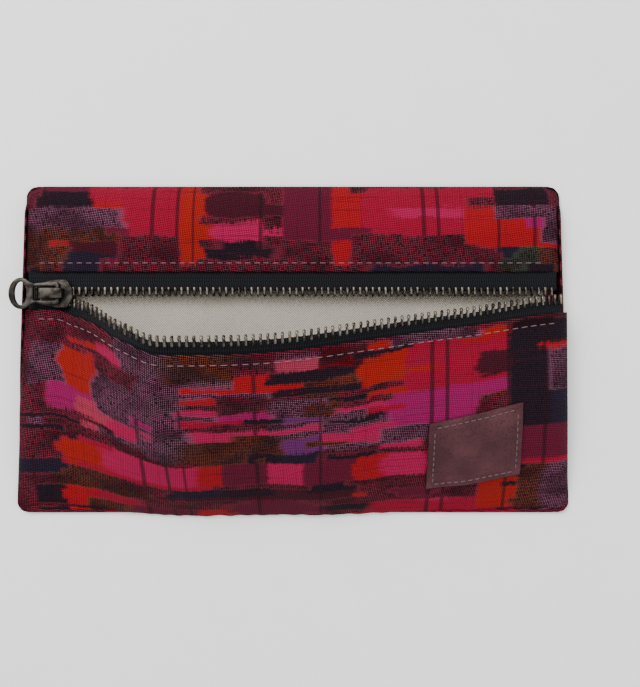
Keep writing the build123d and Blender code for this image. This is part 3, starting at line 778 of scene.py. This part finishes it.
def tooth(origin, toward_tape, upward, points, faces):
    """Add one tooth: rounded head, waist and clamped legs, as rings of points."""
    start = len(points)
    for along, half_width, half_height in TOOTH_RINGS:
        for k in range(TOOTH_AROUND):
            angle = math.pi * (2 * k + 1) / TOOTH_AROUND
            ex = abs(math.cos(angle)) ** 0.55 * math.copysign(1, math.cos(angle))
            ez = abs(math.sin(angle)) ** 0.55 * math.copysign(1, math.sin(angle))
            points.append(origin + toward_tape * along + Vector((1, 0, 0)) * half_width * ex
                          + upward * half_height * ez)
    join_rings(faces, start, len(TOOTH_RINGS), TOOTH_AROUND)


def build_teeth():
    points, faces = [], []
    for number in range(TOOTH_COUNT):
        x = CHAIN_LEFT + PITCH * number
        tooth(Vector((x, CHAIN_Y, CHAIN_Z)), Vector((0, 1, 0)), Vector((0, 0, 1)), points, faces)
    piece = make_object("rear_teeth", points, faces, TEETH_METAL)
    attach(piece, "pouch")
    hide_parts("rear_zip_teeth", "rear_top_stop")
    for side in ("left", "right"):
        points, faces = [], []
        for number in range(TOOTH_COUNT):
            x = CHAIN_LEFT + PITCH * (number + 0.5)
            if (x < OPEN_X) == (side == "left"):
                origin, turn = chain_turn(x)
                tooth(origin, Vector((0, -math.cos(turn), -math.sin(turn))),
                      Vector((0, -math.sin(turn), math.cos(turn))), points, faces)
        piece = make_object(f"front_teeth_{side}", points, faces, TEETH_METAL)
        ride_front(piece, side)
        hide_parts("front_zip_teeth", "front_top_stop")


def tape_level(x, s):
    """Height of the tape: it sinks a little under the cloth, and with the side seams."""
    return 1.3 + (CHAIN_Z - 0.12 * smooth(s / 4) - 1.3) * side_fall(x)


def build_tapes():
    rows = spread(0.0, TAPE_WIDTH, 1.1)
    length = 105.6
    columns = spread(-length, length, 1.6)
    piece = sheet_mesh("rear_tape", columns, rows,
                       lambda x, s: (x, CHAIN_Y + TAPE_START + s, tape_level(x, s)),
                       lambda x, s: (x, s), TAPE_THICKNESS, TAPE)
    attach(piece, "pouch")
    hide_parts("rear_zip_tape")
    for side, (low, high) in (("left", (-length, OPEN_X)), ("right", (OPEN_X, length))):
        piece = sheet_mesh(f"front_tape_{side}", spread(low, high, 1.6), rows,
                           lambda x, s: folded(x, CHAIN_Y - TAPE_START - s, tape_level(x, s)),
                           lambda x, s: (x, s), TAPE_THICKNESS, TAPE)
        ride_front(piece, side)
        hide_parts("front_zip_tape")


def tube(name, centres, radius, material, around=10):
    """A round cord through centres that run roughly along X."""
    points, faces, uvs = [], [], []
    for i, centre in enumerate(centres):
        ahead = centres[min(i + 1, len(centres) - 1)] - centres[max(i - 1, 0)]
        side = ahead.cross(Vector((0, 0, 1))).normalized()
        up = side.cross(ahead).normalized()
        for k in range(around):
            angle = 2 * math.pi * k / around
            points.append(centre + side * radius * math.cos(angle) + up * radius * math.sin(angle))
            uvs.append((centre.x, radius * angle))
    join_rings(faces, 0, len(centres), around)
    return make_object(name, points, faces, material, uvs)


def build_cords():
    centres = [Vector((x, CHAIN_Y + CORD_REACH, CHAIN_Z)) for x in spread(-CORD_HALF, CORD_HALF, 3)]
    piece = tube("rear_cord", centres, CORD_RADIUS, TAPE)
    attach(piece, "pouch")
    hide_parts("rear_zip_cord")
    for side, (low, high) in (("left", (-CORD_HALF, OPEN_X)), ("right", (OPEN_X, CORD_HALF))):
        centres = [folded(x, CHAIN_Y - CORD_REACH, CHAIN_Z) for x in spread(low, high, 1.5)]
        piece = tube(f"front_cord_{side}", centres, CORD_RADIUS, TAPE)
        ride_front(piece, side)
        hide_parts("front_zip_cord")


# --- stitches -----------------------------------------------------------------------
def stitch_line(name, ends, material, radius=0.18):
    """Sewn stitches: each a short thread that dips into the cloth at both ends."""
    points, faces, uvs = [], [], []
    around, lengths = 8, 7
    for start, end, normal in ends:
        base = len(points)
        along = end - start
        side = along.cross(normal).normalized()
        for i in range(lengths):
            t = i / (lengths - 1)
            lift = math.sin(math.pi * t) ** 0.6
            centre = start.lerp(end, t) + normal * (lift * radius * 1.5 - radius * 1.0)
            size = radius * (0.55 + 0.45 * lift)
            for k in range(around):
                angle = 2 * math.pi * k / around
                points.append(centre + side * size * math.cos(angle) + normal * size * math.sin(angle))
                uvs.append((t * 3, angle * 0.3))
        join_rings(faces, base, lengths, around)
    return make_object(name, points, faces, material, uvs)


def surface(place, x, s, lift):
    """A point just above a sheet, with the sheet's normal there."""
    here = Vector(place(x, s))
    along = Vector(place(x + 0.5, s)) - Vector(place(x - 0.5, s))
    up = Vector(place(x, s + 0.5)) - Vector(place(x, s - 0.5))
    normal = along.cross(up).normalized()
    if normal.z < 0:
        normal = -normal
    return here + normal * lift, normal


def stitches_on(place, s, low, high):
    """Ends of the topstitches of a row at s, from low to high."""
    ends = []
    x = low
    while x + STITCH_LENGTH < high:
        a, normal = surface(place, x, s, CLOTH / 2)
        b, _ = surface(place, x + STITCH_LENGTH, s, CLOTH / 2)
        ends.append((a, b, normal))
        x += STITCH_STEP
    return ends


def build_stitches():
    s = HEM + 0.9 + 2.7
    for side, (low, high) in (("left", (-103, OPEN_X)), ("right", (OPEN_X, 104))):
        ends = stitches_on(front_place, s, low + 0.4, high)
        piece = stitch_line(f"front_topstitch_{side}", ends, THREAD)
        ride_front(piece, side)
        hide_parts("front_topstitch")
    ends = stitches_on(upper_place, UPPER_HEM + 0.9 + 2.4, -103, 104)
    piece = stitch_line("upper_topstitch_thread", ends, THREAD)
    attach(piece, "pouch")
    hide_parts("upper_topstitch")


# --- back and upper front -----------------------------------------------------------
UPPER_PATH = Path([(FOLD_EDGE + 6.0, RIM_Z - 0.85), (FOLD_EDGE + 0.7, RIM_Z - 0.80),
                   (FOLD_EDGE, RIM_Z - 0.5), (FOLD_EDGE + 0.7, RIM_Z - 0.22),
                   (FOLD_EDGE + 3.0, RIM_Z - 0.15), (FOLD_EDGE + 8.0, RIM_Z), (48.0, 8.9),
                   (57.0, 7.4), (62.6, 5.2), (65.4, 2.8), (65.6, 1.2)])
UPPER_HEM = 6.3


def upper_ripple(x, y):
    slow = noise.noise(Vector((x * 0.035, y * 0.05, 12.4)))
    pucker = noise.noise(Vector((x * 0.22, y * 0.05, 5.5)))
    return slow * 1.3 * smooth((y - FOLD_EDGE - 3) / 8) + pucker * 0.4


def upper_place(x, s):
    point = UPPER_PATH(s)
    y, z = point.x, point.y
    if s > UPPER_HEM:
        z += upper_ripple(x, y) * smooth((UPPER_PATH.length - s) / 6)
    z = 1.0 + (z - 1.0) * side_fall(x)
    corner = smooth((abs(x) - 103) / 8) * smooth((y - 58) / 8)
    y -= corner * 1.8
    return Vector((x * narrowing(y), y, z))


def build_upper():
    rows = hem_rows(UPPER_HEM) + spread(UPPER_HEM + 1.5, UPPER_PATH.length, 1.4)
    piece = sheet_mesh("upper_cloth", spread(-SIDE_X, SIDE_X, 1.5), rows, upper_place,
                       lambda x, s: (x, FOLD_EDGE + s - UPPER_HEM), CLOTH, UPPER_IKAT)
    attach(piece, "pouch")
    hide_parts("upper_panel")
    path = Path([(FOLD_EDGE + 1.0, RIM_Z - 2.1), (FOLD_EDGE + 9.0, RIM_Z - 2.0), (50.0, 6.0),
                 (61.0, 3.0)])
    piece = sheet_mesh("upper_lining_cloth", spread(-105, 105, 3), spread(0, path.length, 2),
                       lambda x, s: (x, path(s).x, 1.9 + (path(s).y - 1.9) * side_fall(x)),
                       lambda x, s: (x, s), LINING, CANVAS)
    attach(piece, "pouch")
    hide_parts("upper_lining")


def outline_half(y):
    """Half the pouch's width at y, with rounded corners."""
    half = HALF_BOTTOM - (HALF_BOTTOM - HALF_TOP) * (y + HALF_HEIGHT) / (2 * HALF_HEIGHT)
    corner = 4.5
    past = max(0.0, abs(y) - (HALF_HEIGHT - corner))
    return half - corner + math.sqrt(max(0.0, corner ** 2 - past ** 2))


def build_back():
    def place(x, s):
        y = s
        edge_x = max(0.0, abs(x) - (SIDE_X - 3.0)) / 3.0
        edge_y = max(0.0, abs(y) - 63.0) / 3.0
        lift = 1.3 * min(1.0, edge_x ** 2 + edge_y ** 2)
        wave = 0.12 * noise.noise(Vector((x * 0.05, y * 0.05, 4.4)))
        return Vector((x / SIDE_X * outline_half(y), y, CLOTH / 2 + 0.13 + wave + lift))

    edge = spread(-66, -62, 0.5)
    rows = edge[:-1] + spread(-62, 62, 3)[:-1] + spread(62, 66, 0.5)
    columns = (spread(-SIDE_X, -SIDE_X + 4, 0.6)[:-1] + spread(-SIDE_X + 4, SIDE_X - 4, 3)[:-1]
               + spread(SIDE_X - 4, SIDE_X, 0.6))
    piece = sheet_mesh("back_cloth", columns, rows, place, lambda x, s: (-x * 0.98 + 7.0, s * -1.02 + 3.0),
                       CLOTH, BACK_IKAT)
    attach(piece, "pouch")
    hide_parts("back_panel")

    def lining(x, s):
        """The lining's corners are drawn in, and its front edge curls up to meet the front's."""
        y = max(s, -62.0 + 7.5 * smooth((abs(x) - 88) / 10) + (s + 62.0) * 0.05)
        foot = smooth((-52 - y) / 6)
        wave = 0.7 * noise.noise(Vector((x * 0.04, s * 0.05, 9.9)))
        rise = 1.2 * smooth((abs(x) - 97) / 5)
        curl = 0.4 * opening(x) * smooth((-60 - y) / 1.5)
        return Vector((x, y, 1.75 - 0.25 * foot + (wave + rise) * (1 - foot) + curl))

    rows = spread(-62.0, -59.0, 0.6)[:-1] + spread(-59.0, 61.5, 2)
    piece = sheet_mesh("back_lining_cloth", spread(-102, 102, 2), rows, lining,
                       lambda x, s: (x, s), LINING, CANVAS)
    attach(piece, "pouch")
    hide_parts("back_lining")


def build_seams():
    """Turned-in seam edges: both sides, where the faces meet, and the bottom."""
    for name, side in (("left", -1), ("right", 1)):
        def place(x, s, side=side):
            y = x
            top = 1.0 + (6.4 - 1.0) * smooth((y + 52) / 50) * (1 - smooth((y - 54) / 10))
            lean = 1.2 * math.sin(math.pi * s)
            return Vector((side * (outline_half(y) - 1.6 + lean), y, 0.7 + (top - 0.7) * s))

        piece = sheet_mesh(f"{name}_side_cloth", spread(-60, 62, 1.6), [k / 7 for k in range(8)],
                           place, lambda x, s, side=side: (side * (111 + s * 5), x), CLOTH, BACK_IKAT)
        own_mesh(piece)
        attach(piece, "pouch")
        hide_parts(f"{name}_side_seam")

    def foot(x, s):
        y = -65.3 + 3.6 * s
        return Vector((x, y, 0.9 + 0.35 * math.sin(math.pi * s)))

    piece = sheet_mesh("bottom_seam_cloth", spread(-107, 107, 2), [k / 4 for k in range(5)], foot,
                       lambda x, s: (x, -62 - 3.6 * s), CLOTH, FRONT_IKAT)
    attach(piece, "pouch")
    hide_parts("bottom_seam")


# --- leather label ------------------------------------------------------------------
LABEL_X = 71.0
LABEL_V = -33.5
LABEL_WIDTH = 37.0
LABEL_HEIGHT = 30.0
LABEL_SLANT = math.tan(math.radians(5.0))
LABEL_THICKNESS = 1.15


def label_place(a, b):
    """Middle of the label at a, b from its centre; the label lies on the cloth."""
    x = LABEL_X + a
    v = LABEL_V + b + a * LABEL_SLANT
    flat = Vector(front_place(x, HEM + RIM_Y - v))
    _, normal = surface(front_place, x, HEM + RIM_Y - v, 0)
    return flat + normal * (CLOTH / 2 + LABEL_THICKNESS / 2 + 0.25)


def label_steps(half):
    """Places across the label, closer together at its rounded edges."""
    return ([-half, -half + 0.25, -half + 0.7] + spread(-half + 1.5, half - 1.5, 0.7)
            + [half - 0.7, half - 0.25, half])


def build_label():
    half_w, half_h = LABEL_WIDTH / 2, LABEL_HEIGHT / 2
    columns, rows = label_steps(half_w), label_steps(half_h)
    piece = sheet_mesh("label_leather", columns, rows, label_place, lambda a, b: (a, b),
                       LABEL_THICKNESS, LEATHER)
    half = len(piece.data.vertices) // 2
    # pressed frame line, stitch channel and rounded edges, on the upper side
    for index in range(half):
        a = columns[index // len(rows)]
        b = rows[index % len(rows)]
        edge = min(half_w - abs(a), half_h - abs(b))
        down = 0.42 * (1 - smooth(edge / 0.9))
        down += 0.22 * math.exp(-((edge - 2.2) / 0.5) ** 2)
        inner = min(half_w - 6.0 - abs(a), half_h - 5.5 - abs(b))
        down += 0.20 * math.exp(-(inner / 0.45) ** 2)
        _, normal = surface(label_place, a, b, 0)
        piece.data.vertices[index].co -= normal * down * MM
    ride_front(piece, "right")
    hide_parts("leather_label")
    ends = []
    inset, length, step = 2.2, 1.8, 2.6
    lift = LABEL_THICKNESS / 2 - 0.1
    columns_count = int((LABEL_WIDTH - 2 * inset) / step)
    rows_count = int((LABEL_HEIGHT - 2 * inset) / step)
    for number in range(columns_count):
        a = -half_w + inset + step * (number + 0.3)
        for b in (half_h - inset, -half_h + inset):
            start, normal = surface(label_place, a, b, lift)
            end, _ = surface(label_place, a + length, b, lift)
            ends.append((start, end, normal))
    for number in range(rows_count):
        b = -half_h + inset + step * (number + 0.4)
        for a in (half_w - inset, -half_w + inset):
            start, normal = surface(label_place, a, b, lift)
            end, _ = surface(label_place, a, b + length, lift)
            ends.append((start, end, normal))
    piece = stitch_line("label_thread", ends, LABEL_THREAD, 0.24)
    ride_front(piece, "right")
    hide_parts("label_stitching")


# --- slider and pull ----------------------------------------------------------------
def plate_from_curve(name, splines, thickness, bevel, placed, material):
    """A flat metal part with rounded edges: closed outlines and holes, then placed."""
    curve = bpy.data.curves.new(name, "CURVE")
    curve.dimensions = "2D"
    curve.fill_mode = "BOTH"
    curve.extrude = (thickness / 2 - bevel) * MM
    curve.bevel_depth = bevel * MM
    curve.bevel_resolution = 3
    curve.offset = -bevel * MM
    for outline in splines:
        spline = curve.splines.new("POLY")
        spline.points.add(len(outline) - 1)
        for point, (x, y) in zip(spline.points, outline):
            point.co = (x * MM, y * MM, 0, 1)
        spline.use_cyclic_u = True
    holder = bpy.data.objects.new(name + "_curve", curve)
    bpy.context.scene.collection.objects.link(holder)
    mesh = bpy.data.meshes.new_from_object(holder.evaluated_get(
        bpy.context.evaluated_depsgraph_get()))
    bpy.data.objects.remove(holder)
    mesh.name = name
    mesh.transform(placed)
    mesh.materials.clear()
    mesh.materials.append(material)
    piece = bpy.data.objects.new(name, mesh)
    bpy.context.scene.collection.objects.link(piece)
    merge(piece)
    return piece


def merge(piece):
    """Weld doubled points and shade by angle."""
    work = bmesh.new()
    work.from_mesh(piece.data)
    bmesh.ops.remove_doubles(work, verts=work.verts, dist=0.000004)
    bmesh.ops.recalc_face_normals(work, faces=work.faces)
    work.to_mesh(piece.data)
    work.free()
    piece.data.shade_smooth()
    piece.data.set_sharp_from_angle(angle=SHARP_METAL)


def rounded(points, radius, steps=6):
    """A closed outline with its corners rounded."""
    result = []
    for k, corner in enumerate(points):
        corner = Vector(corner)
        before = Vector(points[k - 1]) - corner
        after = Vector(points[(k + 1) % len(points)]) - corner
        cut = min(radius, before.length / 2.05, after.length / 2.05)
        a, b = corner + before.normalized() * cut, corner + after.normalized() * cut
        for step in range(steps + 1):
            t = step / steps
            result.append(tuple(a * (1 - t) ** 2 + corner * 2 * t * (1 - t) + b * t ** 2))
    return result


def ellipse(x, y, half_x, half_y, steps=40):
    return [(x + half_x * math.cos(2 * math.pi * k / steps),
             y + half_y * math.sin(2 * math.pi * k / steps)) for k in range(steps)]


def build_slider():
    low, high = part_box("slider_body")
    centre_x, centre_y = (low.x + high.x) / 2 / MM, (low.y + high.y) / 2 / MM
    half = (high.x - low.x) / 2 / MM
    nose, tail, plate = 5.6, 4.3, 1.1
    taper, tip = 2.2, 1.8
    outline = rounded([(-half, -tail), (0, -nose), (half - taper, -nose), (half, -tip), (half, tip),
                       (half - taper, nose), (0, nose), (-half, tail)], 0.9)
    parts = [("slider_top_plate", outline, plate, 0.32, (centre_x, centre_y, high.z / MM - plate / 2)),
             ("slider_bottom_plate", outline, plate, 0.32, (centre_x, centre_y, low.z / MM + plate / 2))]
    half_lip, lip_y = 4.0, 3.95
    lip = rounded([(-half_lip, -0.25), (half_lip, -0.25), (half_lip, 0.25), (-half_lip, 0.25)], 0.2)
    for name, side in (("slider_rear_lip", 1), ("slider_front_lip", -1)):
        for word, level in (("upper", 1), ("lower", -1)):
            place = (centre_x - 0.6, centre_y + side * lip_y, CHAIN_Z + level * 1.25)
            parts.append((f"{name}_{word}", lip, 1.2, 0.15, place))
    for name, shape, thickness, bevel, place in parts:
        piece = plate_from_curve(name, [shape], thickness, bevel,
                                 Matrix.Translation(Vector(place) * MM), SLIDER_METAL)
        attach(piece, "slider")
        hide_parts("slider_body")

    low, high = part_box("slider_bridge")
    centre = (low + high) / 2 / MM
    half_l, rise = (high.x - low.x) / 2 / MM, (high.z - low.z) / MM
    bar = 1.1
    outer = rounded([(-half_l, -0.5), (-half_l, rise), (half_l, rise), (half_l, -0.5)], 1.3)
    inner = rounded([(-half_l + bar, 0.3), (-half_l + bar, rise - bar), (half_l - bar, rise - bar),
                     (half_l - bar, 0.3)], 0.5)
    stand = Matrix.Translation(Vector((centre.x, centre.y, low.z / MM)) * MM) @ Matrix.Rotation(
        math.radians(90), 4, "X")
    piece = plate_from_curve("slider_bridge_loop", [outer, inner], 4.0, 0.28, stand, SLIDER_METAL)
    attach(piece, "slider")
    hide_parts("slider_bridge")


def build_pull():
    joint = [j for j in frame["joints"] if j["name"] == "pull_swing"][0]
    pivot = Vector(joint["pos_m"]) / MM
    tilt = math.radians(2.0)
    ring_x, ring_depth, ring_half = -14.6, 5.0, 6.25
    first, last, steps = 52, 308, 48       # the ring's arc, in degrees
    half_arm = 4.5
    outer = []
    # round ring end, waist, then two arms that reach the crossbar
    for k in range(steps + 1):
        angle = math.radians(first + (last - first) * k / steps)
        outer.append((ring_x + ring_depth * math.cos(angle), ring_half * math.sin(angle)))
    waist = [(-9.4, -3.9), (-7.6, -4.15)]
    outer += waist + rounded_end(half_arm) + [(x, -y) for x, y in reversed(waist)]
    slot = rounded([(-9.6, -2.75), (-0.75, -2.75), (-0.75, 2.75), (-9.6, 2.75)], 0.5)
    hole = ellipse(ring_x - 0.15, 0, 2.45, 4.6)
    placed = Matrix.Translation(pivot * MM) @ Matrix.Rotation(-tilt, 4, "Y")
    piece = plate_from_curve("pull_ring_tab", [outer, slot, hole], 1.4, 0.42, placed, SLIDER_METAL)
    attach(piece, "pull")
    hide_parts("pull_tab")


def rounded_end(half_arm):
    """The pull's end at the crossbar, from the lower arm round to the upper one."""
    corner = rounded([(-5.0, -half_arm), (0.65, -half_arm), (0.65, half_arm), (-5.0, half_arm)], 1.2)
    return [p for p in corner if p[0] > -4.0]


def build_bottom_stop():
    low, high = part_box("bottom_stop")
    points, faces = [], []
    centre = (low + high) / 2 / MM
    for direction in (1, -1):
        for shift in (-0.4, 0.5):
            tooth(Vector((centre.x + shift, CHAIN_Y + direction * 0.1, CHAIN_Z)),
                  Vector((0, direction, 0)), Vector((0, 0, 1)), points, faces)
    piece = make_object("bottom_stop_clamp", points, faces, TEETH_METAL)
    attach(piece, "pouch")
    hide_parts("bottom_stop")


# --- stage --------------------------------------------------------------------------
def build_stage():
    mesh = bpy.data.meshes.new("floor")
    work = bmesh.new()
    bmesh.ops.create_grid(work, x_segments=2, y_segments=2, size=3.0)
    work.to_mesh(mesh)
    work.free()
    mesh.materials.append(floor_material())
    floor = bpy.data.objects.new("floor", mesh)
    bpy.context.scene.collection.objects.link(floor)

    world = bpy.data.worlds.new("studio")
    world.use_nodes = True
    world.node_tree.nodes["Background"].inputs[0].default_value = (1.0, 1.0, 1.0, 1.0)
    world.node_tree.nodes["Background"].inputs[1].default_value = 0.75
    bpy.context.scene.world = world
    for name, place, size, power in (("key", (-0.45, 0.55, 0.85), 0.6, 17.0),
                                     ("fill", (0.75, -0.25, 0.8), 0.9, 7.0)):
        data = bpy.data.lights.new(name, "AREA")
        data.size = size
        data.energy = power
        lamp = bpy.data.objects.new(name, data)
        lamp.location = place
        lamp.rotation_euler = (-Vector(place)).to_track_quat("-Z", "Y").to_euler()
        bpy.context.scene.collection.objects.link(lamp)

    data = bpy.data.cameras.new("camera")
    data.sensor_fit = "VERTICAL"
    data.sensor_height = 24.0
    data.lens = data.sensor_height * CAMERA_HEIGHT / VIEW_HEIGHT
    camera = bpy.data.objects.new("camera", data)
    camera.location = (VIEW_X * MM, VIEW_Y * MM, CAMERA_HEIGHT * MM)
    bpy.context.scene.collection.objects.link(camera)
    bpy.context.scene.camera = camera


build_front_panel()
build_front_lining()
build_upper()
build_back()
build_seams()
build_tapes()
build_cords()
build_teeth()
build_bottom_stop()
build_stitches()
build_label()
build_slider()
build_pull()
build_stage()
